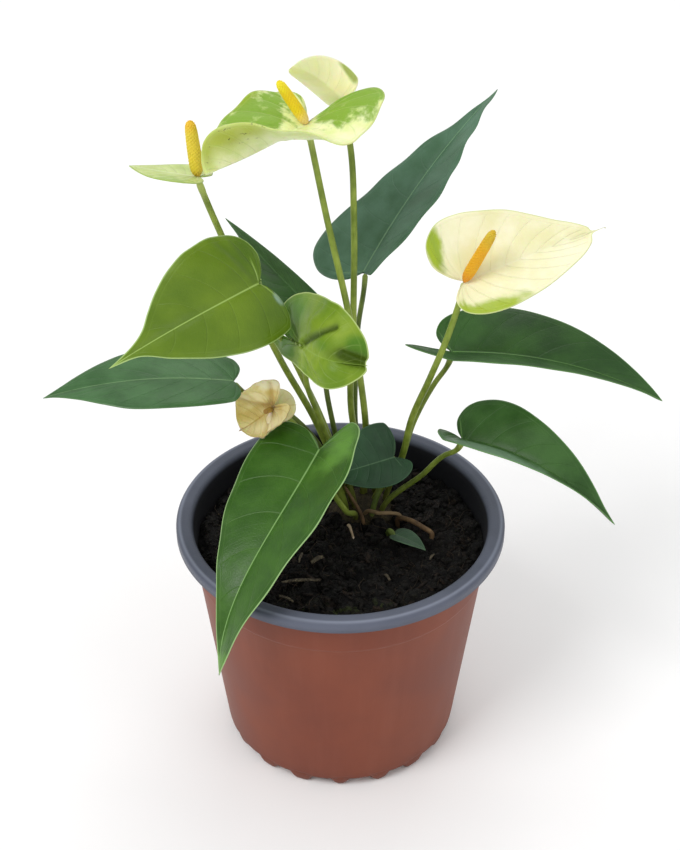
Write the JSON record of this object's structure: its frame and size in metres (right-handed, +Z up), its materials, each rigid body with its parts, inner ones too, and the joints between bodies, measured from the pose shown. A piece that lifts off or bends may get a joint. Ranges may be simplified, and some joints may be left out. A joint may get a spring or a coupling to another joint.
{
  "type": "potted anthurium",
  "caption": "Flowering anthurium with heart-shaped leaves and pale spathes on thin stalks, growing in soil in a round plastic nursery pot.",
  "frame": {"origin": "centre of the pot's flat underside", "axes": "+Z up, +X to the right and -Y towards the viewer as pictured"},
  "size_m": [0.2383, 0.1544, 0.278],
  "materials": {
    "pot": "matte terracotta plastic outside, slate grey inside and over the lip",
    "soil": "dark crumbly peat with fibres and bark chips",
    "crown": "rough brown root crown",
    "old_growth": "dry brown stem",
    "leaf": "waxy dark green leaf with paler veins",
    "young_leaf": "waxy yellow-green leaf with paler veins",
    "stalk": "smooth olive green stalk",
    "spathe": "waxy cream spathe flushed with green",
    "withered_spathe": "thin dry tan spathe",
    "spadix": "golden spadix covered in tiny florets"
  },
  "bodies": {
    "root": {"pot": "pot", "soil": "soil", "crown": "crown", "runner": "old_growth", "old_stalk": "old_growth", "front_leaf": "leaf", "front_leaf_stalk": "stalk", "left_upper_leaf": "young_leaf", "left_upper_leaf_stalk": "stalk", "left_lower_leaf": "leaf", "left_lower_leaf_stalk": "stalk", "back_leaf": "leaf", "back_leaf_stalk": "stalk", "young_leaf": "young_leaf", "young_leaf_stalk": "stalk", "top_right_leaf": "leaf", "top_right_leaf_stalk": "stalk", "right_upper_leaf": "leaf", "right_upper_leaf_stalk": "stalk", "right_lower_leaf": "leaf", "right_lower_leaf_stalk": "stalk", "centre_leaf": "leaf", "centre_leaf_stalk": "stalk", "soil_leaf": "leaf", "soil_leaf_stalk": "stalk", "top_bloom_spathe": "spathe", "top_bloom_spadix": "spadix", "top_bloom_stalk": "stalk", "back_bloom_spathe": "spathe", "back_bloom_spadix": "spadix", "back_bloom_stalk": "stalk", "left_bloom_spathe": "spathe", "left_bloom_spadix": "spadix", "left_bloom_stalk": "stalk", "right_bloom_spathe": "spathe", "right_bloom_spadix": "spadix", "right_bloom_stalk": "stalk", "withered_bloom_spathe": "withered_spathe", "withered_bloom_spadix": "spadix", "withered_bloom_stalk": "stalk"}
  },
  "joints": []
}
